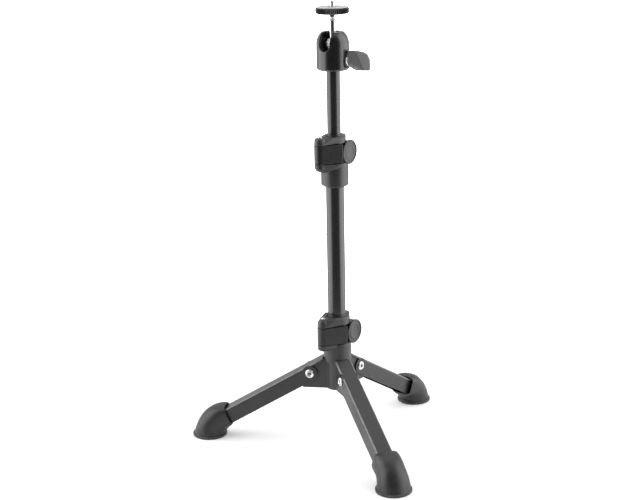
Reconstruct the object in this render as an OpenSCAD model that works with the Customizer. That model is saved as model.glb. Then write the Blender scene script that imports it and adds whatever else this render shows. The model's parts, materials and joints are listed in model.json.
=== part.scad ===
// Desktop microphone stand: folding three-leg base, two telescoping tubes held by
// screw clamps, and a small ball head with a 1/4 inch stud. Millimetres, +Z up,
// origin on the floor under the column's axis.

/* [Stance] */
// Distance from the column's axis to the middle of each foot
foot_circle_r = 142; // [130:1:155]
// Angle of the opened legs below the horizontal
leg_slope = 30.3; // [28:0.1:33]
// Direction of the first leg, seen from above
leg_turn = -67.8; // [-180:0.2:180]

/* [Column] */
// Length of lower tube showing between the two clamps
lower_show = 137; // [90:1:180]
// Length of upper tube showing between the upper clamp and the ball head
upper_show = 65; // [20:1:90]
// Outer radius of the lower tube
lower_r = 9.5; // [9:0.1:9.8]
// Outer radius of the upper tube
upper_r = 7; // [6.6:0.1:7.2]

/* [Legs] */
// Width of the folded-sheet leg
leg_w = 17.8; // [16:0.2:19]
// Depth of the leg's side walls
leg_h = 16.8; // [16:0.2:18]
// Thickness of the leg's sheet
leg_t = 1.4; // [1.2:0.1:1.8]
// Radius of a rubber foot's sole
sole_r = 18.6; // [17:0.2:20]

/* [Ball head] */
// Radius of the ball
ball_r = 7; // [6.8:0.1:7.2]
// Radius of the ball head's housing
head_r = 16.7; // [16:0.1:18]
// Radius of the knurled disc
disc_r = 17; // [14:0.1:18]

/* [Hidden] */
$fn = 64;
eps = 0.01;       // overlap that joins two solids of one node
run = 0.06;       // radial clearance of a running or sliding fit

// Legs, in the leg's own upright plane: x is the distance from the column's axis
pivot_x = 29;                                   // rivet's distance from the axis
web_over_sole = 21;                             // top of the leg above the sole's middle
pivot_z = web_over_sole + (foot_circle_r - pivot_x) * tan(leg_slope) - leg_h / 2 / cos(leg_slope);
leg_len = (foot_circle_r - 2 - pivot_x) / cos(leg_slope);
tongue_len = 21;                                // web past the rivet, which stops on the hub
bend_r = 2.2;                                   // outside radius of the sheet's bends
rivet_r = 3;
fin_t = 14.2;                                   // hub fin between the leg's walls
washer_t = (leg_w - 2 * leg_t - fin_t) / 2 - 0.06;
stop_angle = 55;                                // fold at which the web meets the fin's corner

// Hub and lower clamp
hub_bottom = pivot_z - 17;
hub_low_r = 12;
hub_r = 14.8;
hub_step = hub_bottom + 31;                     // where the hub widens over the legs
lower_clamp_z = pivot_z + 45.6;                 // middle of the lower clamp's plate
upper_clamp_z = lower_clamp_z + 20.8 + lower_show + 36.4;

// Both clamps: a casting round the tube, with an ear at one end and a lug at the other.
// A plate is pinned to the ear, and a screw through the plate's far end threads into the lug.
ear = [-14.5, -14.5];
ear_r = 6.2;
lug_r = 6.2;
plate_h = 18.9;
groove = 0.4;                                   // gap above and below the plate
flange_low = 14.4;                              // lower flange's edge under the plate's middle
screw_turn = -35;                               // direction the clamp screws point
split_turn = -45;                               // direction the clamp plates face
face_turn = -71;                                // direction of the plates' flat outside
pin_r = 1.9;
screw_r = 2.5;
screw_z = -1.2;                                 // screw's height over the plate's middle
nut_r = 4.62;
knob_r = 12.9;
lower_case_r = 13.2;
upper_case_r = 11.6;
socket_r = 14.3;
socket_bottom = upper_clamp_z - 36.4;
socket_stop = upper_clamp_z - 17;               // where the lower tube ends in the socket
lower_wall = 1.2;
upper_wall = 1;

// One clamp's own sizes: casting radius, tube radius, liner radius, screw's distance from the
// column's axis, plate's thickness under the knob, knob's back, knob's face, the space between
// the knob and the step in the plate, and the heights of the casting's top and of the hinge pin
LOWER = [lower_case_r, lower_r, 10.7, 13, 10.6, 11.5, 14.3, 3.4, 18.8, 19.1];
UPPER = [upper_case_r, upper_r, 8.2, 10.4, 8.9, 9.8, 12.8, 2.6, 16.6, 17.9];

// Upper column and ball head
head_bottom = upper_clamp_z + 19 + upper_show;
ball_z = head_bottom + 26;
head_top = ball_z + 12.3;
slot_turn = -124;                               // direction of the slot the stem folds into
slot_w = 12.5;
lip_r = 6.4;                                    // opening that keeps the ball in
mouth_r = 7.4;
lock_z = head_bottom + 10.2;
lock_turn = -25;
lock_r = 2.5;
spigot_r = 4.76;                                // 3/8 inch thread
stem_r = 4;
collar_z = ball_z + 23.8;
collar_h = 3.6;
disc_z = collar_z + collar_h + 2.9;
disc_t = 6;
pad_t = 0.6;
stud_r = 3.175;                                 // 1/4 inch thread
stud_show = 5.6;
shank_r = 2.6;                                  // neck that the disc turns on

// Lower and upper tube ends
lower_tube_bottom = hub_bottom + 2;
upper_tube_bottom = lower_tube_bottom + 88;

// ---- shared shapes ----
function at(r, a) = [r * cos(a), r * sin(a)];

module ring(r_out, r_in, h) {
    difference() {
        cylinder(r = r_out, h = h);
        translate([0, 0, -1]) cylinder(r = r_in, h = h + 2);
    }
}

// Turns a shape drawn along +Z so that it points along +X
module lay() { rotate([0, 90, 0]) children(); }

module at_lower() { translate([0, 0, lower_clamp_z]) children(); }

module at_upper() { translate([0, 0, upper_clamp_z]) children(); }

module leg_at(i) { rotate([0, 0, leg_turn + 120 * i]) children(); }

// The leg's own frame: x along the leg, z square to its web, origin at the rivet
module on_leg(i) { leg_at(i) translate([pivot_x, 0, pivot_z]) rotate([0, leg_slope, 0]) children(); }

// ---- clamps ----

// The screw's own frame: +Z along the screw, origin beside the column's axis
module on_screw(c) { rotate([0, 0, screw_turn]) translate([0, c[3], screw_z]) lay() children(); }

// Outline of a casting seen from above
module clamp_plan(c, inset = 0) {
    hull() {
        circle(r = c[0] - inset);
        translate(ear) circle(r = ear_r - inset, $fn = 32);
        rotate(screw_turn) for (u = [0, -4]) translate([u, c[3]]) circle(r = lug_r - inset, $fn = 32);
    }
}

// Everything on the plate's side of the split, with room for the plate's knuckle
module front_side(gap) {
    rotate(split_turn) translate([-gap, -60]) square([60, 120]);
    translate(ear) circle(r = ear_r + gap);
}

// Blank of a clamp: flat on top from the lug to the tube, and rounded down round the ear
module clamp_blank(c) {
    mid_r = c[0] + 0.4 * (ear_r - c[0]);
    hull() translate([0, 0, -flange_low]) {
        for (k = [0, 1.2]) {
            tall = flange_low + c[8] - 1.2 + k;
            cylinder(r = c[0] - k, h = tall);
            translate([0.4 * ear[0], 0.4 * ear[1], 0]) cylinder(r = mid_r - k, h = tall);
            rotate([0, 0, screw_turn]) for (u = [0, -4]) translate([u, c[3], 0])
                cylinder(r = lug_r - k, h = tall, $fn = 32);
        }
        translate([ear[0], ear[1], 0]) {
            cylinder(r = ear_r - 3.2, h = flange_low + c[8] - 0.3, $fn = 32);
            cylinder(r = ear_r - 1.2, h = flange_low + c[8] - 2.4, $fn = 32);
        }
        linear_extrude(flange_low + plate_h / 2 + 1.8) clamp_plan(c);
        translate([0, 0, -1.5]) linear_extrude(0.5) clamp_plan(c, 1.8);
    }
}

module clamp_cuts(c) {
    translate([0, 0, -flange_low - 4]) cylinder(r = c[2], h = 60);
    translate([0, 0, -plate_h / 2 - groove]) linear_extrude(plate_h + 2 * groove) front_side(0.35);
    translate([ear[0], ear[1], -flange_low + 2]) cylinder(r = pin_r, h = 60);
    on_screw(c) {
        translate([0, 0, -30]) cylinder(r = screw_r + run, h = 60);
        translate([0, 0, c[5] - 0.9]) cylinder(r = knob_r + 0.7, h = 30);
        translate([0, 0, -19.7]) cylinder(r = nut_r, h = 13.6, $fn = 6);
    }
}

module clamp_pin(c) {
    color([0.85, 0.85, 0.85]) translate([ear[0], ear[1], -flange_low + 2])
        cylinder(r = pin_r, h = flange_low + c[9] - 2);
}

module clamp_nut(c) {
    color([0.75, 0.75, 0.7]) on_screw(c) translate([0, 0, -9.7]) difference() {
        cylinder(r = nut_r, h = 3.6, $fn = 6);
        translate([0, 0, -1]) cylinder(r = screw_r + run, h = 6);
    }
}

// Hinged plate: knuckle on the ear's pin, flat outside, and a step down under the knob
module clamp_plate(c) {
    e = [norm(ear) * cos(225 - screw_turn), norm(ear) * sin(225 - screw_turn)];
    out = at(1, face_turn - screw_turn);
    along = at(1, face_turn - screw_turn + 90);
    tangent = e + ear_r * out;
    step_w = c[3] - knob_r - c[7];
    top = tangent + along * (step_w - tangent[1]) / along[1];
    end = c[3] + lug_r;
    color([0.1, 0.1, 0.1]) difference() {
        union() {
            translate([0, 0, -plate_h / 2]) linear_extrude(plate_h) intersection() {
                rotate(screw_turn) union() {
                    polygon([e, tangent, top - 0.8 * along, top + [-0.8, 0], [c[4], step_w],
                             [c[4], end - 2.5], [c[4] - 2.5, end], [-6, end], [-12, 0]]);
                    translate([c[4] - 2.5, end - 2.5]) circle(r = 2.5);
                }
                rotate(split_turn) translate([0, -60]) square([60, 120]);
            }
            translate([ear[0], ear[1], -plate_h / 2]) cylinder(r = ear_r, h = plate_h);
        }
        translate([0, 0, -plate_h]) cylinder(r = c[1] + run, h = 2 * plate_h);
        translate([ear[0], ear[1], -plate_h]) cylinder(r = pin_r + run, h = 2 * plate_h);
        on_screw(c) translate([0, 0, -20]) cylinder(r = screw_r + 0.8, h = 60);
    }
}

module clamp_washer(c) {
    color([0.8, 0.8, 0.8]) on_screw(c) translate([0, 0, c[5] - 0.85]) ring(5.4, screw_r + run, 0.8);
}

module clamp_screw(c) {
    color([0.8, 0.8, 0.8]) on_screw(c) translate([0, 0, -9]) cylinder(r = screw_r, h = c[6] - 1.2 + 9);
}

// Round knob: fluted grip, a raised rim and a shallow dished face
module clamp_knob(c) {
    flutes = 24;
    thick = c[6] - c[5];
    color([0.25, 0.25, 0.25]) on_screw(c) translate([0, 0, c[5]]) difference() {
        union() {
            cylinder(r1 = knob_r - 1, r2 = knob_r, h = 1);
            translate([0, 0, 1 - eps]) cylinder(r = knob_r, h = thick - 1.6);
            translate([0, 0, thick - 0.6 - eps]) cylinder(r1 = knob_r, r2 = knob_r - 0.6, h = 0.6);
        }
        translate([0, 0, thick - 0.5]) cylinder(r = knob_r - 2.2, h = 2);
        translate([0, 0, -1]) cylinder(r = screw_r, h = thick - 0.2);
        for (i = [0 : flutes - 1]) rotate([0, 0, i * 360 / flutes]) translate([knob_r + 0.4, 0, -1])
            cylinder(r = 0.75, h = thick + 2, $fn = 24);
    }
}

// Sleeve that guides a tube in its clamp, open where the plate bears on the tube
module clamp_liner(c, low, collar) {
    color([0.3, 0.3, 0.3]) difference() {
        union() {
            translate([0, 0, low]) cylinder(r = c[2], h = c[8] - low);
            translate([0, 0, c[8] - eps]) cylinder(r1 = c[2] - 0.1, r2 = c[2] - 0.5, h = collar);
        }
        translate([0, 0, low - 30]) cylinder(r = c[1] + run, h = 90);
        translate([0, 0, -plate_h / 2 - groove]) linear_extrude(plate_h + 2 * groove)
            rotate(split_turn) translate([-0.5, -60]) square([60, 120]);
        on_screw(c) translate([0, 0, -30]) cylinder(r = screw_r + 0.3, h = 60);
    }
}

// ---- base ----
// One radial fin of the hub: it fills the leg's channel and stops the fold at both ends
module fin_side() {
    in = leg_h / 2 - leg_t - 0.25;              // just inside the web
    top = pivot_z + (pivot_x - 10) * tan(leg_slope) + in / cos(leg_slope);
    far = leg_slope + stop_angle;               // the web's slope when folded
    low = hub_bottom + 0.6;
    foot_x = pivot_x + (in + (pivot_z - low) * cos(far)) / sin(far);
    steps = 10;
    nose = [for (k = [0 : steps]) [pivot_x, pivot_z] + at(in, 90 - far + k * stop_angle / steps)];
    polygon(concat([[8, low], [foot_x, low]], nose, [[10, top], [8, top]]));
}

module hub_blank() {
    translate([0, 0, hub_bottom]) cylinder(r = hub_low_r, h = 35);
    translate([0, 0, hub_step]) cylinder(r = hub_r, h = lower_clamp_z - plate_h / 2 - 0.9 - hub_step);
    translate([0, 0, lower_clamp_z]) clamp_blank(LOWER);
    for (i = [0 : 2]) leg_at(i) rotate([90, 0, 0])
        translate([0, 0, -fin_t / 2]) linear_extrude(fin_t) fin_side();
}

module hub() {
    color([0.16, 0.16, 0.16]) difference() {
        hub_blank();
        translate([0, 0, hub_bottom - 1]) cylinder(r = lower_r + 0.25, h = 90);
        translate([0, 0, lower_clamp_z]) clamp_cuts(LOWER);
        for (i = [0 : 2]) on_leg(i) rotate([90, 0, 0]) translate([0, 0, -20]) cylinder(r = rivet_r + run, h = 40);
    }
}

// Section of a leg: sheet folded into a channel that is open below
module channel_section() {
    difference() {
        union() {
            translate([-leg_w / 2, -leg_h / 2]) square([leg_w, leg_h - bend_r]);
            translate([-leg_w / 2 + bend_r, -leg_h / 2]) square([leg_w - 2 * bend_r, leg_h]);
            for (s = [-1, 1]) translate([s * (leg_w / 2 - bend_r), leg_h / 2 - bend_r]) circle(r = bend_r);
        }
        translate([-leg_w / 2 + leg_t, -leg_h / 2 - 1]) square([leg_w - 2 * leg_t, leg_h + 1 - leg_t]);
    }
}

module leg_channel(i) {
    color([0.14, 0.14, 0.14]) on_leg(i) difference() {
        union() {
            rotate([90, 0, 90]) linear_extrude(leg_len) channel_section();
            for (s = [-1, 1]) translate([0, s * (leg_w - leg_t) / 2, 0]) rotate([90, 0, 0])
                cylinder(r = leg_h / 2, h = leg_t, center = true);
            translate([-tongue_len, 0, 0]) rotate([90, 0, 90]) linear_extrude(tongue_len + eps)
                intersection() {
                    channel_section();
                    translate([-leg_w / 2, leg_h / 2 - bend_r]) square([leg_w, bend_r]);
                }
        }
        rotate([90, 0, 0]) translate([0, 0, -20]) cylinder(r = rivet_r, h = 40);
        rotate([0, -leg_slope, 0]) translate([-pivot_x, 0, -60]) cylinder(r = hub_r + 0.12, h = 120);
    }
}

// Shouldered tubular rivet, with a formed head on each side
module leg_rivet(i) {
    color([0.8, 0.8, 0.8]) on_leg(i) rotate([90, 0, 0]) difference() {
        union() {
            cylinder(r = rivet_r, h = leg_w, center = true);
            for (s = [-1, 1]) scale([1, 1, s]) translate([0, 0, leg_w / 2]) {
                cylinder(r = 4.8, h = 0.8);
                translate([0, 0, 0.8 - eps]) cylinder(r1 = 4.8, r2 = 3.4, h = 0.9);
            }
        }
        for (s = [-1, 1]) scale([1, 1, s]) translate([0, 0, leg_w / 2 - 3]) cylinder(r = 1.8, h = 6);
    }
}

module leg_washers(i) {
    color([0.75, 0.75, 0.7]) on_leg(i) for (s = [-1, 1])
        translate([0, s * (leg_w / 2 - leg_t - washer_t / 2), 0]) rotate([90, 0, 0])
            translate([0, 0, -washer_t / 2]) ring(6.8, rivet_r + run, washer_t);
}

// Rubber boot: a round sole, a domed back and a mouth square to the leg
module leg_foot(i) {
    mouth_w = leg_w + 8;
    mouth_h = leg_h + 5.6;
    mouth_x = leg_len - 25;
    color([0.12, 0.12, 0.12]) difference() {
        union() {
            hull() {
                leg_at(i) translate([foot_circle_r, 0, 2.4]) cylinder(r = sole_r - 0.8, h = 1, $fn = 48);
                leg_at(i) translate([foot_circle_r - 4, 0, 16.6]) sphere(r = 14, $fn = 36);
                on_leg(i) translate([mouth_x, 0, 0.4]) lay() foot_mouth(mouth_h, mouth_w);
            }
            leg_at(i) translate([foot_circle_r, 0, 0.6]) cylinder(r = sole_r, h = 2.2);
            leg_at(i) translate([foot_circle_r, 0, 0]) cylinder(r1 = sole_r - 0.6, r2 = sole_r, h = 0.6);
        }
        on_leg(i) translate([mouth_x - 5, -leg_w / 2, -leg_h / 2]) cube([leg_len - mouth_x + 5.1, leg_w, leg_h]);
    }
}

module foot_mouth(mouth_h, mouth_w) {
    corner = 6;
    for (x = [-1, 1]) for (y = [-1, 1])
        translate([x * (mouth_h / 2 - corner), y * (mouth_w / 2 - corner), 0]) cylinder(r = corner, h = 1.6, $fn = 32);
}

// ---- lower column ----
module lower_tube_plug() {
    color([0.1, 0.1, 0.1]) translate([0, 0, lower_tube_bottom + 0.5])
        ring(lower_r - lower_wall - run, 5, 9);
}

module lower_tube() {
    color([0.1, 0.1, 0.1]) translate([0, 0, lower_tube_bottom])
        ring(lower_r, lower_r - lower_wall, socket_stop - lower_tube_bottom);
}

module upper_clamp_body() {
    color([0.17, 0.17, 0.17]) difference() {
        union() {
            translate([0, 0, upper_clamp_z]) clamp_blank(UPPER);
            translate([0, 0, socket_bottom + 2.2])
                cylinder(r = socket_r, h = upper_clamp_z - plate_h / 2 - 0.9 - socket_bottom - 2.2);
            translate([0, 0, socket_bottom]) cylinder(r1 = socket_r - 3.6, r2 = socket_r, h = 2.2 + eps);
        }
        translate([0, 0, socket_bottom - 1]) cylinder(r = lower_r, h = socket_stop - socket_bottom + 1);
        translate([0, 0, upper_clamp_z]) clamp_cuts(UPPER);
    }
}

// ---- upper column ----
module upper_tube_guide() {
    color([0.1, 0.1, 0.1]) translate([0, 0, upper_tube_bottom - 1.5]) difference() {
        cylinder(r = lower_r - lower_wall - run, h = 14);
        translate([0, 0, 1.5]) cylinder(r = upper_r + run, h = 20);
        translate([0, 0, -1]) cylinder(r = 5, h = 5);
    }
}

module upper_tube() {
    color([0.1, 0.1, 0.1]) translate([0, 0, upper_tube_bottom])
        ring(upper_r, upper_r - upper_wall, head_bottom - upper_tube_bottom);
}

// Plug in the tube's top with the thread that carries the ball head
module head_spigot() {
    color([0.7, 0.7, 0.7]) {
        translate([0, 0, head_bottom - 14]) cylinder(r = upper_r - upper_wall, h = 14);
        translate([0, 0, head_bottom - eps]) cylinder(r = spigot_r, h = 5.4);
    }
}

module head_housing() {
    pocket_r = 7.2;
    color([0.12, 0.12, 0.12]) difference() {
        union() {
            translate([0, 0, head_bottom]) cylinder(r1 = head_r - 1.8, r2 = head_r, h = 1.8);
            translate([0, 0, head_bottom + 1.8 - eps]) cylinder(r = head_r, h = ball_z - head_bottom - 1.8 + eps);
            intersection() {
                translate([0, 0, ball_z]) sphere(r = head_r, $fn = 96);
                translate([0, 0, ball_z]) cylinder(r = head_r + 1, h = head_top - ball_z);
            }
        }
        translate([0, 0, head_bottom - 1]) cylinder(r = spigot_r, h = 6.6);
        translate([0, 0, lock_z - 4]) cylinder(r = 6, h = 12);
        translate([0, 0, ball_z - 10]) cylinder(r = ball_r + 0.05, h = 10);
        translate([0, 0, ball_z]) sphere(r = ball_r + 0.05, $fn = 96);
        translate([0, 0, ball_z + 2]) cylinder(r = lip_r, h = 5);
        translate([0, 0, ball_z + 3]) cylinder(r1 = lip_r, r2 = mouth_r, h = head_top - ball_z - 3 + eps);
        translate([0, 0, head_top - eps]) cylinder(r = mouth_r, h = 3);
        rotate([0, 0, slot_turn]) translate([0, 0, ball_z]) {
            lay() cylinder(r = slot_w / 2, h = 30);
            translate([0, -slot_w / 2, 0]) cube([30, slot_w, 30]);
        }
        rotate([0, 0, lock_turn]) translate([0, 0, lock_z]) {
            lay() cylinder(r = lock_r + run, h = 30);
            translate([head_r - 3.4, 0, 0]) lay() cylinder(r = pocket_r, h = 30);
        }
    }
}

// Plunger under the ball: the lock screw's cone lifts it
module ball_cup() {
    color([0.7, 0.55, 0.3]) difference() {
        translate([0, 0, lock_z + lock_r + 0.1]) cylinder(r = 5.9, h = 9);
        translate([0, 0, ball_z]) sphere(r = ball_r + 0.04, $fn = 96);
    }
}

module lock_washer() {
    color([0.8, 0.8, 0.8]) rotate([0, 0, lock_turn]) translate([head_r - 3.35, 0, lock_z]) lay()
        ring(5.2, lock_r + run, 1);
}

module lock_screw() {
    color([0.8, 0.8, 0.8]) rotate([0, 0, lock_turn]) translate([0, 0, lock_z]) lay() {
        translate([0, 0, 2]) cylinder(r1 = 0.4, r2 = lock_r, h = 4);
        translate([0, 0, 6 - eps]) cylinder(r = lock_r, h = 16);
    }
}

// Wing of the lock screw, seen square to its flat; x is the distance from the column's axis
wing_edge = [[18.5, 9.9], [27, 9.9], [33.7, 8.8], [37.6, 6.9], [40, 2.5], [40.9, -4.2],
             [40.5, -8.6], [39.5, -9.4], [27, -9.9], [22.5, -8.4], [18.5, -5.6]];

module lock_wing() {
    start = head_r - 2.3;
    color([0.35, 0.35, 0.35]) rotate([0, 0, lock_turn]) translate([0, 0, lock_z]) difference() {
        union() {
            translate([start, 0, 0]) lay() cylinder(r = 5.6, h = 5);
            rotate([90, 0, 0]) translate([0, 0, -1.7]) linear_extrude(3.4) polygon(wing_edge);
            hull() {
                translate([start + 3, 0, 0]) lay() cylinder(r = 5.6, h = 1, $fn = 32);
                translate([18.6, -3.4, -5.2]) cube([1, 6.8, 14.8]);
                translate([24.4, -1.9, 8.4]) cube([1, 3.8, 1.2]);
                translate([33, -1.9, -9.2]) cube([1, 3.8, 1]);
                translate([25, -1.9, -9.2]) cube([1, 3.8, 1]);
            }
        }
        lay() cylinder(r = lock_r, h = 22 - eps);
    }
}

module ball() { color([0.85, 0.85, 0.85]) translate([0, 0, ball_z]) sphere(r = ball_r, $fn = 96); }

module ball_stem() {
    color([0.85, 0.85, 0.85]) difference() {
        translate([0, 0, ball_z + 4]) cylinder(r = stem_r, h = collar_z - ball_z - 4);
        translate([0, 0, ball_z]) sphere(r = ball_r + 0.03, $fn = 96);
    }
}

// Collar and threaded stud in one piece; its free end is the stand's mount
module thread_stud() {
    color([0.85, 0.85, 0.85]) {
        translate([0, 0, collar_z + 0.02]) cylinder(r = 5, h = collar_h - 0.8);
        translate([0, 0, collar_z + collar_h - 0.78 - eps]) cylinder(r1 = 5, r2 = 4.2, h = 0.8);
        translate([0, 0, collar_z + collar_h - 0.1]) cylinder(r = shank_r, h = disc_z + disc_t + pad_t - collar_z - collar_h + 0.2);
        translate([0, 0, disc_z + disc_t + pad_t + 0.1 - eps]) cylinder(r = stud_r, h = stud_show);
        translate([0, 0, disc_z + disc_t + pad_t + 0.1 + stud_show - 2 * eps]) cylinder(r1 = stud_r, r2 = stud_r - 0.7, h = 0.7);
    }
}

module disc_pad() {
    color([0.45, 0.45, 0.45]) translate([0, 0, disc_z + disc_t]) ring(disc_r - 1.4, 4.2, pad_t);
}

module knurled_disc() {
    teeth = 60;
    color([0.2, 0.2, 0.2]) translate([0, 0, disc_z]) difference() {
        union() {
            cylinder(r = disc_r - 0.9, h = disc_t);
            translate([0, 0, 0.5]) linear_extrude(disc_t - 1)
                polygon([for (i = [0 : 2 * teeth - 1]) at(disc_r - (i % 2) * 0.5, i * 180 / teeth)]);
        }
        translate([0, 0, -1]) cylinder(r = shank_r + run, h = disc_t + 2);
    }
}

hub();
at_lower() clamp_plate(LOWER);  // lower_clamp_plate
at_lower() clamp_pin(LOWER);  // lower_clamp_pin
at_lower() clamp_nut(LOWER);  // lower_clamp_nut
at_lower() clamp_liner(LOWER, -flange_low - 4, 2);  // lower_liner
at_lower() clamp_washer(LOWER);  // lower_clamp_washer
at_lower() clamp_screw(LOWER);  // lower_clamp_screw
at_lower() clamp_knob(LOWER);  // lower_clamp_knob
leg_channel(0);  // leg_1_channel
leg_foot(0);  // leg_1_foot
leg_rivet(0);  // leg_1_rivet
leg_washers(0);  // leg_1_washers
leg_channel(1);  // leg_2_channel
leg_foot(1);  // leg_2_foot
leg_rivet(1);  // leg_2_rivet
leg_washers(1);  // leg_2_washers
leg_channel(2);  // leg_3_channel
leg_foot(2);  // leg_3_foot
leg_rivet(2);  // leg_3_rivet
leg_washers(2);  // leg_3_washers
lower_tube_plug();
lower_tube();
upper_clamp_body();
at_upper() clamp_plate(UPPER);  // upper_clamp_plate
at_upper() clamp_pin(UPPER);  // upper_clamp_pin
at_upper() clamp_nut(UPPER);  // upper_clamp_nut
at_upper() clamp_liner(UPPER, -17, 1.6);  // upper_liner
at_upper() clamp_washer(UPPER);  // upper_clamp_washer
at_upper() clamp_screw(UPPER);  // upper_clamp_screw
at_upper() clamp_knob(UPPER);  // upper_clamp_knob
upper_tube_guide();
upper_tube();
head_spigot();
head_housing();
ball_cup();
lock_washer();
lock_screw();
lock_wing();
ball();
ball_stem();
thread_stud();
disc_pad();
knurled_disc();
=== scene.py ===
import json
import math

import bmesh
import bpy
from mathutils import Matrix, Vector


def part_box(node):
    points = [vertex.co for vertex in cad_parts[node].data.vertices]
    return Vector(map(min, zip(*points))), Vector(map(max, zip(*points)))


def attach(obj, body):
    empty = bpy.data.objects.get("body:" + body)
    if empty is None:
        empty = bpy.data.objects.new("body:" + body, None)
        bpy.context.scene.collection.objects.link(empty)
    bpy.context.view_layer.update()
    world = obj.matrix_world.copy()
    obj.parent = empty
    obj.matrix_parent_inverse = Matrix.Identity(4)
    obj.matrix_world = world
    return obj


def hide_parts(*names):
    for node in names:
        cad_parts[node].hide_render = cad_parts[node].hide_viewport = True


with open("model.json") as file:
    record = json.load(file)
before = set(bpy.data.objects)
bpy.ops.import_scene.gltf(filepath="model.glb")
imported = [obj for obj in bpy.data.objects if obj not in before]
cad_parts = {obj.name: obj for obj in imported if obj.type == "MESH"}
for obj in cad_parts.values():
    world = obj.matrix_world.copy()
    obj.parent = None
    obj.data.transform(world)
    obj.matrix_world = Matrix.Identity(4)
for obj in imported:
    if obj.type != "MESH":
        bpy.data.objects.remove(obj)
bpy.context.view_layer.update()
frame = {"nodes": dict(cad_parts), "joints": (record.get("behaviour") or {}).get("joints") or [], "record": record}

NODES = frame["nodes"]
JOINT = {j["name"]: j for j in frame["joints"]}
MM = 0.001                          # the outlines below are in millimetres, Blender's unit is the metre
LEGS = (1, 2, 3)
SLOPE = math.radians(30.3)          # how far a leg falls below level
LEG_1_TURN, LEG_STEP = -67.8, 120   # direction of leg 1 seen from above and the step to the next, in degrees
scene = bpy.context.scene


def leg_turn(i):
    return math.radians(LEG_1_TURN + LEG_STEP * (i - 1))


def place(joint):
    """Matrix at a joint, +Z along its axis and +X upwards, or along +X where the axis is upright."""
    j = JOINT[joint]
    z = Vector(j["axis"]).normalized()
    x = Vector((0, 0, 1) if abs(z.z) < 0.9 else (1, 0, 0))
    x = (x - z * x.dot(z)).normalized()
    y = z.cross(x)
    m = Matrix((x, y, z)).transposed().to_4x4()
    m.translation = Vector(j.get("pos_m", (0, 0, 0)))
    return m


def span(node, axis=2):
    """Lowest and highest place of a node along one axis, in millimetres."""
    lo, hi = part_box(node)
    return lo[axis] * 1000, hi[axis] * 1000


def along(node, joint):
    """Extent of a node along a joint's axis, in millimetres from the joint's position."""
    j = JOINT[joint]
    axis, pos = Vector(j["axis"]), Vector(j["pos_m"])
    d = [(v.co - pos).dot(axis) * 1000 for v in NODES[node].data.vertices]
    return min(d), max(d)


def reach(node, joint):
    """Largest distance of a node's surface from a joint's axis, in millimetres."""
    j = JOINT[joint]
    axis, pos = Vector(j["axis"]), Vector(j["pos_m"])
    return max(((v.co - pos) - axis * (v.co - pos).dot(axis)).length for v in NODES[node].data.vertices) * 1000


# ------------------------------------------------------------------ mesh tools
def plain_object(name, me):
    o = bpy.data.objects.new(name, me)
    scene.collection.objects.link(o)
    return o


def take_result(o):
    """The mesh that an object's modifiers make; the object itself is removed."""
    new = bpy.data.meshes.new_from_object(o.evaluated_get(bpy.context.evaluated_depsgraph_get()))
    bpy.data.objects.remove(o)
    return new


def mesh(name, verts, faces, m, sharp, body, mat, replaces):
    """A piece from vertices in millimetres, moved into place by the matrix m."""
    me = bpy.data.meshes.new(name)
    me.from_pydata([Vector(v) * MM for v in verts], [], faces)
    bm = bmesh.new()
    bm.from_mesh(me)
    bmesh.ops.remove_doubles(bm, verts=bm.verts, dist=1e-6)
    bmesh.ops.recalc_face_normals(bm, faces=bm.faces)
    bm.to_mesh(me)
    bm.free()
    if m is not None:
        me.transform(m)
    return finish_piece(name, me, sharp, body, mat, replaces)


def finish_piece(name, me, sharp, body, mat, replaces):
    """Smooth-shades a mesh up to an angle in degrees and makes it a piece of the model."""
    me.polygons.foreach_set("use_smooth", [True] * len(me.polygons))
    me.set_sharp_from_angle(angle=math.radians(sharp))
    o = plain_object(name, me)
    me.materials.clear()
    me.materials.append(mat)
    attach(o, body)
    if replaces:
        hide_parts(*([replaces] if isinstance(replaces, str) else replaces))
    return o


def fillet(points, n=4, closed=True):
    """Rounds each corner (x, y, radius) of an outline; a corner without a radius stays sharp."""
    out = []
    count = len(points)
    for i, p in enumerate(points):
        r = p[2] if len(p) > 2 else 0
        c = Vector(p[:2])
        if r <= 0 or (not closed and i in (0, count - 1)):
            out.append((c.x, c.y))
            continue
        a = Vector(points[i - 1][:2]) - c
        b = Vector(points[(i + 1) % count][:2]) - c
        r = min(r, a.length * 0.49, b.length * 0.49)
        a, b = a.normalized() * r, b.normalized() * r
        for k in range(n + 1):
            t = k / n
            q = c + a * (1 - t) ** 2 + b * t ** 2
            out.append((q.x, q.y))
    return out


def lathe(profile, seg, warp=None):
    """Turns an outline of (radius, z) round Z. One that starts off the axis closes on itself as a ring."""
    verts, faces, rows = [], [], []
    for r, z in profile:
        if r < 1e-6:
            rows.append([len(verts)])
            verts.append((0, 0, z))
            continue
        row = []
        for k in range(seg):
            a = 2 * math.pi * k / seg
            rr, zz = warp(r, z, a) if warp else (r, z)
            row.append(len(verts))
            verts.append((rr * math.cos(a), rr * math.sin(a), zz))
        rows.append(row)
    closed = profile[0][0] > 1e-6
    pairs = list(zip(rows, rows[1:])) + ([(rows[-1], rows[0])] if closed else [])
    for a, b in pairs:
        if len(a) == 1 and len(b) == 1:
            continue
        for k in range(seg):
            n = (k + 1) % seg
            if len(a) == 1:
                faces.append((a[0], b[k], b[n]))
            elif len(b) == 1:
                faces.append((a[k], b[0], a[n]))
            else:
                faces.append((a[k], b[k], b[n], a[n]))
    return verts, faces


def rings(loops):
    """Skins loops of equal length, with a cap on the first and the last."""
    n = len(loops[0])
    verts = [p for loop in loops for p in loop]
    faces = []
    for i in range(len(loops) - 1):
        for k in range(n):
            j = (k + 1) % n
            faces.append((i * n + k, (i + 1) * n + k, (i + 1) * n + j, i * n + j))
    faces.append(tuple(range(n)))
    faces.append(tuple((len(loops) - 1) * n + k for k in reversed(range(n))))
    return verts, faces


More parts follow.
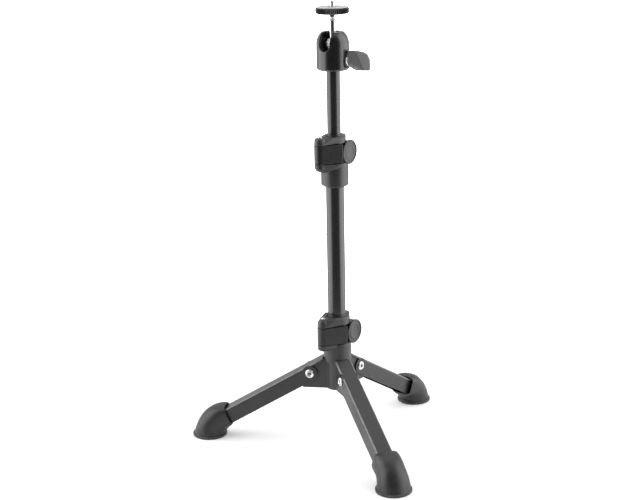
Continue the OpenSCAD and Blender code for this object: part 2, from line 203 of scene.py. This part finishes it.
KNOB_BACK, KNOB_ROOM = 9.2, 13.5    # back of a knob's rim along its axis, and the radius kept free round it
KNOB_DRILL = 40                     # length cut free from there outwards
BORE_DRILL = 1.2                    # metres, longer than the whole stand


def bored_hull(points, bore, knob):
    """Convex hull of some points, with the column's bore and room for the knob cut out of it."""
    me = bpy.data.meshes.new("swelling")
    bm = bmesh.new()
    for q in points:
        bm.verts.new(Vector(q) * MM)
    bmesh.ops.remove_doubles(bm, verts=bm.verts, dist=1e-6)
    bmesh.ops.convex_hull(bm, input=bm.verts)
    bmesh.ops.delete(bm, geom=[w for w in bm.verts if not w.link_faces], context="VERTS")
    bmesh.ops.recalc_face_normals(bm, faces=bm.faces)
    bm.to_mesh(me)
    bm.free()
    drill = bpy.data.meshes.new("drill")
    bm = bmesh.new()
    bmesh.ops.create_cone(bm, cap_ends=True, segments=64, radius1=bore * MM, radius2=bore * MM,
                          depth=BORE_DRILL)
    turn = JOINT[knob]
    axis = Vector(turn["axis"]).normalized()
    spot = Vector(turn["pos_m"]) + axis * (KNOB_BACK + KNOB_DRILL / 2) * MM
    at = Matrix.Translation(spot) @ axis.to_track_quat("Z", "Y").to_matrix().to_4x4()
    bmesh.ops.create_cone(bm, cap_ends=True, segments=64, radius1=KNOB_ROOM * MM, radius2=KNOB_ROOM * MM,
                          depth=KNOB_DRILL * MM, matrix=at)
    bm.to_mesh(drill)
    bm.free()
    a, b = plain_object("swelling", me), plain_object("drill", drill)
    m = a.modifiers.new("c", "BOOLEAN")
    m.operation = "DIFFERENCE"
    m.solver = "EXACT"
    m.object = b
    new = take_result(a)
    bpy.data.objects.remove(b)
    return new


def soft_cast(name, node, voxel, rounds, body, mat, extra=(), bore=None, knob=None):
    """A casting or moulding: the CAD shape, with any extra swellings, and its edges rounded over."""
    me = NODES[node].data.copy()
    me.materials.clear()
    if extra:
        bm = bmesh.new()
        bm.from_mesh(me)
        for points in extra:
            swelling = bored_hull(points, bore, knob)
            bm.from_mesh(swelling)
            bpy.data.meshes.remove(swelling)
        bm.to_mesh(me)
        bm.free()
    o = plain_object(name, me)
    m = o.modifiers.new("r", "REMESH")
    m.mode = "VOXEL"
    m.voxel_size = voxel * MM
    m = o.modifiers.new("s", "SMOOTH")
    m.factor = 0.5
    m.iterations = rounds
    return finish_piece(name, take_result(o), 60, body, mat, node)


FLAT_AREA = 4 * MM * MM             # faces from this size up are shaded flat


def crisp(name, node, width, body, mat):
    """The CAD shape with a small bevelled edge."""
    me = NODES[node].data.copy()
    me.materials.clear()
    bm = bmesh.new()
    bm.from_mesh(me)
    bmesh.ops.remove_doubles(bm, verts=bm.verts, dist=2e-6)
    bmesh.ops.dissolve_limit(bm, angle_limit=math.radians(1.0), verts=bm.verts, edges=bm.edges)
    bm.to_mesh(me)
    bm.free()
    o = plain_object(name, me)
    m = o.modifiers.new("b", "BEVEL")
    m.width = width * MM
    m.segments = 1
    m.limit_method = "ANGLE"
    m.angle_limit = math.radians(32)
    new = take_result(o)
    piece = finish_piece(name, new, 40, body, mat, node)
    for face in new.polygons:
        face.use_smooth = face.area < FLAT_AREA
    return piece


# ------------------------------------------------------------------ materials
def material(name, color, rough, vary, rough_to, metal=0.0, vary_scale=60, grain=None,
             bump=None, coat=0.0, wear=None, spec=0.5, streak=None):
    """A surface whose colour runs from color to vary and whose roughness from rough to rough_to.

    grain is (cells per metre, strength, depth in mm) and bump the same for a broad second wave. wear is
    the colour of rubbed edges, and streak stretches the pattern along the object.
    """
    m = bpy.data.materials.new(name)
    m.use_nodes = True
    n, l = m.node_tree.nodes, m.node_tree.links
    p = n["Principled BSDF"]
    p.inputs["Metallic"].default_value = metal
    p.inputs["Specular IOR Level"].default_value = spec
    p.inputs["Coat Weight"].default_value = coat
    p.inputs["Coat Roughness"].default_value = 0.25
    co = n.new("ShaderNodeTexCoord")

    def noise(scale, detail, stretch=None):
        t_ = n.new("ShaderNodeTexNoise")
        t_.inputs["Scale"].default_value = scale
        t_.inputs["Detail"].default_value = detail
        src = co.outputs["Object"]
        if stretch:
            mp = n.new("ShaderNodeMapping")
            mp.inputs["Scale"].default_value = stretch
            l.new(src, mp.inputs["Vector"])
            src = mp.outputs["Vector"]
        l.new(src, t_.inputs["Vector"])
        return t_.outputs["Fac"]

    def ramp(src, lo, hi, a, b):
        r = n.new("ShaderNodeMapRange")
        for socket, value in (("From Min", lo), ("From Max", hi), ("To Min", a), ("To Max", b)):
            r.inputs[socket].default_value = value
        l.new(src, r.inputs["Value"])
        return r.outputs["Result"]

    def mix(fac, a, b):
        x = n.new("ShaderNodeMix")
        x.data_type = "RGBA"
        l.new(fac, x.inputs["Factor"])
        for s, v in ((x.inputs["A"], a), (x.inputs["B"], b)):
            if isinstance(v, tuple):
                s.default_value = (*v, 1)
            else:
                l.new(v, s)
        return x.outputs["Result"]

    colour = mix(ramp(noise(vary_scale, 5.0, streak), 0.35, 0.7, 0, 1), color, vary)
    if wear:
        g = n.new("ShaderNodeNewGeometry")
        scratch = noise(420, 6.0)
        edge = ramp(g.outputs["Pointiness"], 0.515, 0.58, 0, 1)
        mul = n.new("ShaderNodeMath")
        mul.operation = "MULTIPLY"
        l.new(edge, mul.inputs[0])
        l.new(ramp(scratch, 0.42, 0.62, 0, 0.9), mul.inputs[1])
        colour = mix(mul.outputs["Value"], colour, wear)
    l.new(colour, p.inputs["Base Color"])
    fine = noise(vary_scale * 9, 6.0, streak)
    l.new(ramp(fine, 0.3, 0.7, rough, rough_to), p.inputs["Roughness"])
    last = None
    for spec_ in (bump, grain):
        if not spec_:
            continue
        scale, strength, depth = spec_
        b = n.new("ShaderNodeBump")
        b.inputs["Strength"].default_value = strength
        b.inputs["Distance"].default_value = depth * MM
        l.new(noise(scale, 3.0), b.inputs["Height"])
        if last:
            l.new(last, b.inputs["Normal"])
        last = b.outputs["Normal"]
    if last:
        l.new(last, p.inputs["Normal"])
    return m


M = {
    "cast": material("cast_black", (0.023, 0.023, 0.0232), 0.34, vary=(0.031, 0.031, 0.0312), rough_to=0.46,
                     grain=(2600, 0.35, 0.12), bump=(500, 0.15, 0.2), wear=(0.07, 0.07, 0.072)),
    "head": material("head_black", (0.009, 0.009, 0.0092), 0.17, vary=(0.013, 0.013, 0.0132), rough_to=0.25,
                     grain=(2200, 0.12, 0.06), bump=(350, 0.08, 0.12), wear=(0.16, 0.16, 0.16), coat=0.2),
    "sheet": material("leg_powder_coat", (0.012, 0.012, 0.0122), 0.27, vary=(0.017, 0.017, 0.0172),
                      rough_to=0.36, grain=(750, 0.50, 0.16), bump=(90, 0.10, 0.25)),
    # painted highlight for the faces along the legs' bends, far lighter than the leg's own paint
    "bend_highlight": material("leg_bend_painted_highlight", (0.10, 0.10, 0.101), 0.24, vary=(0.17, 0.17, 0.171), vary_scale=150,
                     rough_to=0.34, grain=(2400, 0.2, 0.05)),
    "tube": material("tube_paint", (0.018, 0.018, 0.0182), 0.16, vary=(0.022, 0.022, 0.0222), rough_to=0.24,
                     grain=(900, 0.10, 0.08), bump=(160, 0.08, 0.2), coat=0.15, streak=(1, 1, 0.12)),
    "plastic": material("moulded_black", (0.008, 0.008, 0.0082), 0.30, vary=(0.012, 0.012, 0.0122),
                        rough_to=0.42, grain=(4200, 0.30, 0.08), bump=(300, 0.08, 0.15)),
    "knob": material("knob_grey_black", (0.016, 0.016, 0.0163), 0.34, vary=(0.024, 0.024, 0.0243), rough_to=0.46,
                     grain=(4600, 0.32, 0.08), bump=(380, 0.10, 0.12)),
    "wing": material("wing_grey_black", (0.13, 0.13, 0.131), 0.34, vary=(0.155, 0.155, 0.156),
                     rough_to=0.46, grain=(4200, 0.30, 0.08), bump=(320, 0.10, 0.12)),
    "liner": material("sleeve_black", (0.012, 0.012, 0.012), 0.35, vary=(0.018, 0.018, 0.018),
                      rough_to=0.35 + 0.12, grain=(3000, 0.1, 0.05)),
    "rubber": material("foot_rubber", (0.009, 0.009, 0.0092), 0.36, vary=(0.015, 0.015, 0.0152), vary_scale=45,
                       rough_to=0.48, grain=(3000, 0.35, 0.10), bump=(420, 0.12, 0.15), wear=(0.09, 0.09, 0.092)),
    "zinc": material("zinc_plate", (0.62, 0.62, 0.64), 0.20, metal=1.0, vary=(0.80, 0.80, 0.81), vary_scale=260,
                     rough_to=0.38, grain=(2600, 0.10, 0.05)),
    "chrome": material("polished_nickel", (0.74, 0.74, 0.75), 0.06, metal=1.0, vary=(0.84, 0.84, 0.85),
                       vary_scale=180, rough_to=0.14, grain=(3500, 0.03, 0.03)),
    "knurl": material("disc_black", (0.010, 0.010, 0.0102), 0.28, vary=(0.015, 0.015, 0.0152),
                      rough_to=0.38, spec=0.4, grain=(4200, 0.2, 0.06), bump=(380, 0.08, 0.1), wear=(0.09, 0.09, 0.09)),
    "neck": material("neck_black_oxide", (0.01, 0.01, 0.01), 0.42, vary=(0.016, 0.016, 0.016),
                     vary_scale=220, rough_to=0.5, grain=(3000, 0.1, 0.05)),
    "satin": material("ball_satin", (0.95, 0.95, 0.95), 0.30, metal=0.05, vary=(0.99, 0.99, 0.99), vary_scale=240,
                      rough_to=0.34, grain=(3000, 0.05, 0.03)),
    "brass": material("turned_brass", (0.62, 0.44, 0.20), 0.22, metal=1.0, vary=(0.72, 0.54, 0.28), rough_to=0.35),
    "grip": material("friction_ring", (0.36, 0.36, 0.365), 0.55, vary=(0.46, 0.46, 0.465), vary_scale=200,
                     rough_to=0.75, grain=(2500, 0.3, 0.10)),
}
# A CAD node takes the material named after its slot, except these
NODE_MAT = {"ball": "satin", "lower_clamp_nut": "neck", "upper_clamp_nut": "neck"}
for sub in frame["record"]["subparts"]:
    o = NODES[sub["node"]]
    o.data.materials.clear()
    o.data.materials.append(M[NODE_MAT.get(sub["node"], sub["material_slot"])])


# ------------------------------------------------------------------ floor
def floor_material():
    m = bpy.data.materials.new("pale_floor")
    m.use_nodes = True
    n, l = m.node_tree.nodes, m.node_tree.links
    p = n["Principled BSDF"]
    p.inputs["Roughness"].default_value = 0.9
    p.inputs["Specular IOR Level"].default_value = 0.1
    t = n.new("ShaderNodeTexNoise")
    t.inputs["Scale"].default_value = 3.0
    r = n.new("ShaderNodeMapRange")
    r.inputs["To Min"].default_value = 0.84
    r.inputs["To Max"].default_value = 0.88
    l.new(t.outputs["Fac"], r.inputs["Value"])
    p.inputs["Emission Color"].default_value = (1, 1, 1, 1)
    p.inputs["Emission Strength"].default_value = 0.16
    c = n.new("ShaderNodeCombineColor")
    for k in ("Red", "Green", "Blue"):
        l.new(r.outputs["Result"], c.inputs[k])
    l.new(c.outputs["Color"], p.inputs["Base Color"])
    return m


FLOOR_R = 0.42                      # metres
bm = bmesh.new()
bmesh.ops.create_circle(bm, cap_ends=True, segments=128, radius=FLOOR_R)
me = bpy.data.meshes.new("floor")
bm.to_mesh(me)
bm.free()
floor = plain_object("floor", me)
me.materials.append(floor_material())

# ------------------------------------------------------------------ studio
# Two tall softboxes left and right, a dark zone in front, a white cyclorama behind and a bright roof.
# STUDIO lists (degrees away from the front, brightness), the same on both sides.
SIDES = 3.5
STUDIO = [(0, 0.05), (35, 0.07), (48, 0.36), (61, SIDES), (108, 0.95 * SIDES), (128, 1.1), (150, 0.9),
          (180, 0.8)]
ROOF = 0.95
ROOF_FROM, ROOF_FULL = 0.70, 0.92   # height of a direction where the roof begins, and where it is whole
world = bpy.data.worlds.new("studio")
scene.world = world
world.use_nodes = True
wn, wl = world.node_tree.nodes, world.node_tree.links
bg = wn["Background"]


def wmath(op, *values):
    x = wn.new("ShaderNodeMath")
    x.operation = op
    for s, v in zip(x.inputs, values):
        if isinstance(v, (int, float)):
            s.default_value = v
        else:
            wl.new(v, s)
    return x.outputs[0]


tc = wn.new("ShaderNodeTexCoord")
sep = wn.new("ShaderNodeSeparateXYZ")
wl.new(tc.outputs["Generated"], sep.inputs[0])
azimuth = wmath("ARCTAN2", sep.outputs["X"], wmath("MULTIPLY", sep.outputs["Y"], -1))
turn = wmath("DIVIDE", wmath("ABSOLUTE", azimuth), math.pi)
ramp = wn.new("ShaderNodeValToRGB")
wl.new(turn, ramp.inputs["Fac"])
ramp.color_ramp.interpolation = "EASE"
els = ramp.color_ramp.elements
while len(els) < len(STUDIO):
    els.new(0.5)
for e, (deg, v) in zip(els, STUDIO):
    e.position = deg / 180
    e.color = (v / SIDES, v / SIDES, v / SIDES, 1)
high = wn.new("ShaderNodeMapRange")
high.interpolation_type = "SMOOTHSTEP"
high.inputs["From Min"].default_value = ROOF_FROM
high.inputs["From Max"].default_value = ROOF_FULL
wl.new(sep.outputs["Z"], high.inputs["Value"])
roof = wn.new("ShaderNodeMix")
roof.data_type = "RGBA"
wl.new(high.outputs["Result"], roof.inputs["Factor"])
wl.new(ramp.outputs["Color"], roof.inputs["A"])
roof.inputs["B"].default_value = (ROOF / SIDES, ROOF / SIDES, ROOF / SIDES, 1)
lp = wn.new("ShaderNodeLightPath")
mx = wn.new("ShaderNodeMix")
mx.data_type = "RGBA"
wl.new(lp.outputs["Is Camera Ray"], mx.inputs["Factor"])
wl.new(roof.outputs["Result"], mx.inputs["A"])
mx.inputs["B"].default_value = (1, 1, 1, 1)
wl.new(mx.outputs["Result"], bg.inputs["Color"])
bg.inputs["Strength"].default_value = SIDES


def area(name, loc, target, size, power):
    d = bpy.data.lights.new(name, "AREA")
    d.shape = "RECTANGLE"
    d.size, d.size_y = size
    d.energy = power
    o = plain_object(name, d)
    o.location = loc
    o.rotation_euler = (Vector(target) - Vector(loc)).to_track_quat("-Z", "Y").to_euler()


area("top", (0.0, 0.4, 1.9), (0, 0, 0.1), (1.6, 1.6), 6)

# ------------------------------------------------------------------ camera, at the photograph's angle
LENS = 83.66                        # millimetres, on a sensor 36 mm wide
CAMERA_AT = (0, -1.4565, 0.6254)    # metres
YAW_PITCH_ROLL = (-0.96, 15.82, -1.16)
cam_data = bpy.data.cameras.new("camera")
cam = plain_object("camera", cam_data)
scene.camera = cam
cam_data.sensor_width = 36.0
cam_data.sensor_fit = "HORIZONTAL"
cam_data.lens = LENS
yaw, pitch, roll = (math.radians(v) for v in YAW_PITCH_ROLL)
fwd = Vector((math.sin(yaw) * math.cos(pitch), math.cos(yaw) * math.cos(pitch), -math.sin(pitch)))
right = Vector((math.cos(yaw), -math.sin(yaw), 0))
up = right.cross(fwd)
r2 = right * math.cos(roll) + up * math.sin(roll)
u2 = up * math.cos(roll) - right * math.sin(roll)
cm = Matrix((r2, u2, -fwd)).transposed().to_4x4()
cm.translation = Vector(CAMERA_AT)
cam.matrix_world = cm
cam_data.clip_start, cam_data.clip_end = 0.05, 60
scene.view_settings.view_transform = "Standard"
scene.view_settings.look = "None"

# ------------------------------------------------------------------ clamp castings
# Geometry that both share: the ear of the hinge, the flat front, and where the plate's lower edge runs
EAR, EAR_R = Vector((-14.5, -14.5)), 6.2
EAR_POINTS = 28
FACE = math.radians(-71)            # direction that the flat front looks in
OUT, SIDE = Vector((math.cos(FACE), math.sin(FACE))), Vector((-math.sin(FACE), math.cos(FACE)))
PLATE_H = 18.9
PLATE_LOW = PLATE_H / 2 + 0.9


def ring(r, c, z, count):
    """Points round a centre, a full turn being EAR_POINTS of them; one more repeats the first."""
    turns = [2 * math.pi * k / EAR_POINTS for k in range(count)]
    return [(c[0] + r * math.cos(a), c[1] + r * math.sin(a), z) for a in turns]


def skirt(z, case_r, deep, right_deep):
    """Lens-shaped swelling under a clamp's plate, from the ear round to the knob."""
    closed = EAR_POINTS + 1
    top, front = z - PLATE_LOW, EAR.dot(OUT) + EAR_R - 0.1
    pts = ring(EAR_R - 0.1, EAR, top, closed) + ring(EAR_R - 1.6, EAR, top - deep, closed)
    pts += ring(2.6, EAR * 0.8, top - deep - 2.4, closed)
    for t, n_, dz in ((-16, front, 0), (2, front, 0), (5.6, front - 1.2, 0.2), (7.6, front - 3.6, 1.4),
                      (-2, front - 0.6, right_deep), (-12, front - 0.6, deep - 0.6)):
        q = OUT * n_ + SIDE * t
        pts.append((q.x, q.y, top - dz))
    return pts + ring(case_r - 1.2, (0, 0), top, closed)


def shoulder(z, plan, heights):
    """Fills out a casting's side between the ear and the tube.

    The plan lists (x, y, 1 where the point is drawn in towards the top), heights lists (height, inset).
    """
    return [(px + out * inset, py - out * inset * 0.5, z + h) for h, inset in heights for px, py, out in plan]


LOW_PLAN = ((-11.5, 8.6, 0), (-13, 6.8, 1), (-14.8, 3.8, 1), (-16.4, -0.2, 1), (-17.6, -4.6, 1),
            (-18, -9, 1), (-11.5, -10, 0))
HIGH_PLAN = ((-8.6, 8.4, 0), (-10.4, 6.4, 1), (-12.4, 3.4, 1), (-14.2, -0.6, 1), (-16, -5, 1),
             (-17, -9.2, 1), (-8.6, -9, 0))


def ear_cap(z, levels):
    """Rounds the top of the ear; levels lists (height, radius)."""
    return [p for h, r in levels for p in ring(r, EAR, z + h, EAR_POINTS)]


low_z = JOINT["lower_plate_swing"]["pos_m"][2] * 1000
high_z = JOINT["upper_plate_swing"]["pos_m"][2] * 1000
soft_cast("hub_casting", "hub", 0.42, 4, "base", M["cast"],
          [skirt(low_z, 13.2, 3.4, 2.6),
           shoulder(low_z, LOW_PLAN, ((10.4, 0), (17.0, 0), (18.6, 1.2), (19.4, 2.8))),
           ear_cap(low_z, ((10.5, 6.1), (15.6, 5.7), (17.9, 4.2)))],
          bore=11.0, knob="lower_knob_turn")
soft_cast("clamp_casting", "upper_clamp_body", 0.34, 4, "lower_column", M["cast"],
          [skirt(high_z, 11.6, 6.5, 4.5),
           shoulder(high_z, HIGH_PLAN, ((10.4, 0), (14.8, 0), (16.4, 1.2), (17.2, 3.0))),
           ear_cap(high_z, ((10.5, 6.1), (15.2, 5.8), (16.9, 4.2)))],
          bore=8.5, knob="upper_knob_turn")
soft_cast("head_shell", "head_housing", 0.26, 8, "upper_column", M["head"])
soft_cast("lock_paddle", "lock_wing", 0.22, 5, "lock", M["wing"])
soft_cast("lower_plate_shell", "lower_clamp_plate", 0.3, 4, "lower_plate", M["plastic"])
soft_cast("upper_plate_shell", "upper_clamp_plate", 0.3, 4, "upper_plate", M["plastic"])


# ------------------------------------------------------------------ clamp knobs
# Fluted grip, raised rim, dished face with a moulded ring
FLUTES, FLUTE_DEPTH = 24, 0.42


def clamp_knob(which):
    back, face = along(f"{which}_clamp_knob", f"{which}_knob_turn")
    r = reach(f"{which}_clamp_knob", f"{which}_knob_turn")

    def warp(rr, z, a):
        outer = min(1.0, max(0.0, rr - r + 1.5))
        return rr - max(0.0, math.cos(FLUTES * a)) ** 5 * FLUTE_DEPTH * outer, z

    outline = [(0, back), (r - 1.3, back, 0.3), (r - 0.1, back + 1.0, 0.5), (r, face - 0.75, 0.4),
               (r - 0.75, face, 0.5), (r - 1.6, face, 0.4), (r - 2.5, face - 0.95, 0.5),
               (r * 0.70, face - 0.75, 0.4), (r * 0.64, face - 0.25, 0.4), (r * 0.52, face - 0.25, 0.4),
               (r * 0.46, face - 0.75, 0.4), (r * 0.2, face - 0.9, 0.4), (0, face - 0.9)]
    v, f = lathe(fillet(outline, 3, closed=False), FLUTES * 10, warp)
    mesh(f"{which}_knob_grip", v, f, place(f"{which}_knob_turn"), 50, f"{which}_knob", M["knob"],
         f"{which}_clamp_knob")


clamp_knob("lower")
clamp_knob("upper")

# ------------------------------------------------------------------ rivets, pins and the lock screw's ferrule
# Tubular rivets with rolled heads; HEAD runs from the hollow outwards, with heights from the leg's wall
RIVET_HOLLOW = 3.2
HEAD = [(1.75, -RIVET_HOLLOW), (1.8, 0.5, 0.2), (2.2, 1.45, 0.5), (3.1, 1.8, 0.6), (4.2, 1.35, 0.7),
        (4.8, 0.6, 0.4), (4.75, 0.02, 0.1)]
for i in LEGS:
    lo, hi = along(f"leg_{i}_channel", f"leg_{i}_fold")
    half = (hi - lo) / 2
    top = [(0, half - RIVET_HOLLOW)] + [(r_, half + z_, *q) for r_, z_, *q in HEAD] + [(3.0, half)]
    line = fillet(top, closed=False)
    line = line + [(r_, -z_) for r_, z_ in reversed(line)]
    v, f = lathe(line, 64)
    mesh(f"leg_{i}_rivet_turned", v, f, place(f"leg_{i}_fold"), 40, f"leg_{i}", M["zinc"],
         f"leg_{i}_rivet")

# Hinge pins with a rounded head
for which, body in (("lower", "base"), ("upper", "lower_column")):
    node = f"{which}_clamp_pin"
    lo, hi = span(node)
    c = Vector(JOINT[f"{which}_plate_swing"]["pos_m"])
    left, right_side = span(node, 0)
    r = (right_side - left) / 2
    line = fillet([(0, lo), (r, lo, 0.3), (r, hi - 0.2), (r + 0.5, hi - 0.1, 0.2), (r + 0.5, hi + 0.3, 0.4),
                   (r - 0.7, hi + 0.95, 0.6), (0, hi + 1.05)], closed=False)
    v, f = lathe(line, 48)
    mesh(f"{which}_pin_turned", v, f, Matrix.Translation((c.x, c.y, 0)), 40, body, M["chrome"], node)

# Polished ferrule round the lock screw's boss, with heights from the column's axis
line = fillet([(5.0, 16.85, 0.1), (5.8, 16.85, 0.2), (6.1, 17.2, 0.3), (6.1, 17.9, 0.3), (5.8, 18.2, 0.2),
               (5.0, 18.2, 0.1)])
v, f = lathe(line, 72)
lock = place("lock_turn")
lock.translation = Vector((0, 0, JOINT["lock_turn"]["pos_m"][2]))
mesh("lock_ferrule", v, f, lock, 40, "lock", M["chrome"], ())

# ------------------------------------------------------------------ knurled disc, stud and stem
TEETH, TOOTH_DEPTH = 52, 0.9
DISC_BORE = 2.7
lo, hi = span("knurled_disc")
rim = span("knurled_disc", 0)[1]


def knurl(rr, z, a):
    depth = TOOTH_DEPTH * (0.5 - 0.5 * math.cos(TEETH * a)) ** 1.2
    return rr - depth * min(1.0, max(0.0, (rr - rim + 1.6) / 0.8)), z


outline = [(DISC_BORE, lo), (rim - 1.7, lo, 0.3), (rim - 0.75, lo + 0.25, 0.2), (rim - 0.05, lo + 0.85, 0.2),
           (rim, (lo + hi) / 2), (rim - 0.05, hi - 0.85, 0.2), (rim - 0.75, hi - 0.25, 0.2),
           (rim - 1.7, hi, 0.3), (DISC_BORE, hi)]
v, f = lathe(fillet(outline, 2), TEETH * 6, knurl)
mesh("disc_knurled", v, f, None, 38, "disc", M["knurl"], "knurled_disc")

# Stud: stepped satin collar, dark neck that the disc turns on, and a 1/4 inch thread
PITCH = 1.27
NECK_ROOT, NECK_R = 2.45, 2.6
THREAD_ROOT, THREAD_R = 2.55, 3.175
THREAD_CHAMFER = 0.75
base, tip = span("thread_stud")
deck = span("disc_pad")[1]
line = fillet([(0, base), (3.8, base, 0.2), (3.6, base + 0.5, 0.4), (2.5, base + 1.5, 0.5),
               (2.35, base + 3.5, 0.1), (0, base + 3.55)], closed=False)
v, f = lathe(line, 64)
mesh("stud_collar", v, f, None, 40, "stud", M["satin"], "thread_stud")

# Stem, which begins a little way inside the ball
STEM_R = 4.0
stem_low = span("ball")[1] - 1.5
stem_end = span("ball_stem")[1]
line = fillet([(0, stem_low), (STEM_R, stem_low), (STEM_R, stem_end - 0.3), (3.7, stem_end), (0, stem_end)],
              closed=False)
v, f = lathe(line, 72)
mesh("stem_turned", v, f, None, 40, "stem", M["chrome"], "ball_stem")


def thread(name, z0, z1, r0, r1, mat, chamfer):
    """Helical thread from height z0 to z1, with root radius r0 and crest radius r1."""
    rows, seg = int((z1 - z0) / PITCH * 10), 48
    loops = []
    for k in range(rows + 1):
        z = z0 + (z1 - z0) * k / rows
        loop = []
        for n in range(seg):
            a = 2 * math.pi * n / seg
            ph = (z / PITCH - a / (2 * math.pi)) % 1.0
            rr = r0 + (r1 - r0) * min(1.0, 1.5 * (1 - abs(2 * ph - 1)))
            if chamfer:
                rr = min(rr, r1 - THREAD_CHAMFER + (z1 - z))
            loop.append((rr * math.cos(a), rr * math.sin(a), z))
        loops.append(loop)
    v, f = rings(loops)
    mesh(name, v, f, None, 30, "stud", mat, ())


thread("stud_neck", base + 3.2, deck + 0.1, NECK_ROOT, NECK_R, M["neck"], False)
thread("stud_thread", deck + 0.05, tip, THREAD_ROOT, THREAD_R, M["chrome"], True)

# ------------------------------------------------------------------ pressed legs
# Painted highlight: the faces along the two bends take a much lighter grey, which stands in for the bright line that
# the light draws along each bend
for i in LEGS:
    leg = crisp(f"leg_{i}_pressing", f"leg_{i}_channel", 0.3, f"leg_{i}", M["sheet"])
    leg.data.materials.append(M["bend_highlight"])
    turn_i = leg_turn(i)
    across = Vector((-math.sin(turn_i), math.cos(turn_i), 0))
    web = Vector((math.sin(SLOPE) * math.cos(turn_i), math.sin(SLOPE) * math.sin(turn_i), math.cos(SLOPE)))
    # faces that lean both across the leg and up from the web are the bends, and they take the painted highlight
    for face in leg.data.polygons:
        if abs(face.normal.dot(across)) > 0.3 and face.normal.dot(web) > 0.3:
            face.material_index = 1


# ------------------------------------------------------------------ rubber boots
# Lofted from a loose square mouth to a round sole with a raised rim. The curves lie in the leg's own
# plane, as (distance from the column, height), and FLANK adds the half width.
def bezier(pts, t):
    w = ((1 - t) ** 3, 3 * t * (1 - t) ** 2, 3 * t * t * (1 - t), t ** 3)
    return [sum(a * p[k] for a, p in zip(w, pts)) for k in range(len(pts[0]))]


TOP = [(124.4, 34.8), (137, 36), (152, 29.6), (159.0, 3.7)]
UNDER = [(115, 15.3), (117, 12.3), (122.6, 7.5), (124.8, 3.7)]
FLANK = [(119.7, 25.1, 13.3), (128, 21.1, 14.8), (142, 17.5, 15.2), (141.9, 3.7, 17.3)]
AROUND, LENGTHS = 80, 30
MOUTH_X, MOUTH_Z = (TOP[0][0] + UNDER[0][0]) / 2, (TOP[0][1] + UNDER[0][1]) / 2

SOLE_AT = 142.0                     # middle of the sole, from the column
SOLE = [(17.25, 3.25), (17.5, 3.0), (18.2, 2.95), (18.6, 2.6), (18.6, 0.9), (18.4, 0.35), (17.9, 0.0),
        (9.0, 0.0)]
# From deep inside the mouth out over its lip: (scale across and up, scale sideways), distance down the leg
LIP = [((0.87, 0.915), 12), ((0.87, 0.915), 0.9), ((0.885, 0.925), 0.15), ((0.92, 0.945), -0.25),
       ((0.965, 0.975), -0.2), ((0.99, 0.99), 0.25)]


def section(top, under, flank, power):
    """One loop of the boot; a power of 2 is round, and a higher one is squarer."""
    loop = []
    for k in range(AROUND):
        a = 2 * math.pi * k / AROUND
        c = math.copysign(abs(math.cos(a)) ** (2 / power), math.cos(a))
        s_ = math.copysign(abs(math.sin(a)) ** (2 / power), math.sin(a))
        q = [flank[j] + (top[j] - under[j]) / 2 * c + ((top[j] + under[j]) / 2 - flank[j]) * c * c
             for j in (0, 1)]
        loop.append((q[0], flank[2] * s_, q[1]))
    return loop


def inward(loop, scale, back):
    """A mouth loop shrunk towards the leg's axis and moved down the leg."""
    dx, dz = math.cos(SLOPE) * back, -math.sin(SLOPE) * back
    sx, sy = scale
    return [(MOUTH_X + (x - MOUTH_X) * sx + dx, y * sy, MOUTH_Z + (z - MOUTH_Z) * sx + dz)
            for x, y, z in loop]


def foot_mesh():
    body = []
    for k in range(LENGTHS + 1):
        t = k / LENGTHS
        power = 2 + 2.2 * max(0.0, 1 - t / 0.55) ** 1.3
        body.append(section(bezier(TOP, t), bezier(UNDER, t), bezier(FLANK, t), power))
    lip = [inward(body[0], scale, back) for scale, back in LIP]
    turns = [2 * math.pi * k / AROUND for k in range(AROUND)]
    sole = [[(SOLE_AT + r * math.cos(a), r * math.sin(a), z) for a in turns] for r, z in SOLE]
    return rings(lip + body[1:] + sole)


v, f = foot_mesh()
for i in LEGS:
    foot_turn = Matrix.Rotation(leg_turn(i), 4, "Z")
    mesh(f"leg_{i}_boot", v, f, foot_turn, 42, f"leg_{i}", M["rubber"], f"leg_{i}_foot")
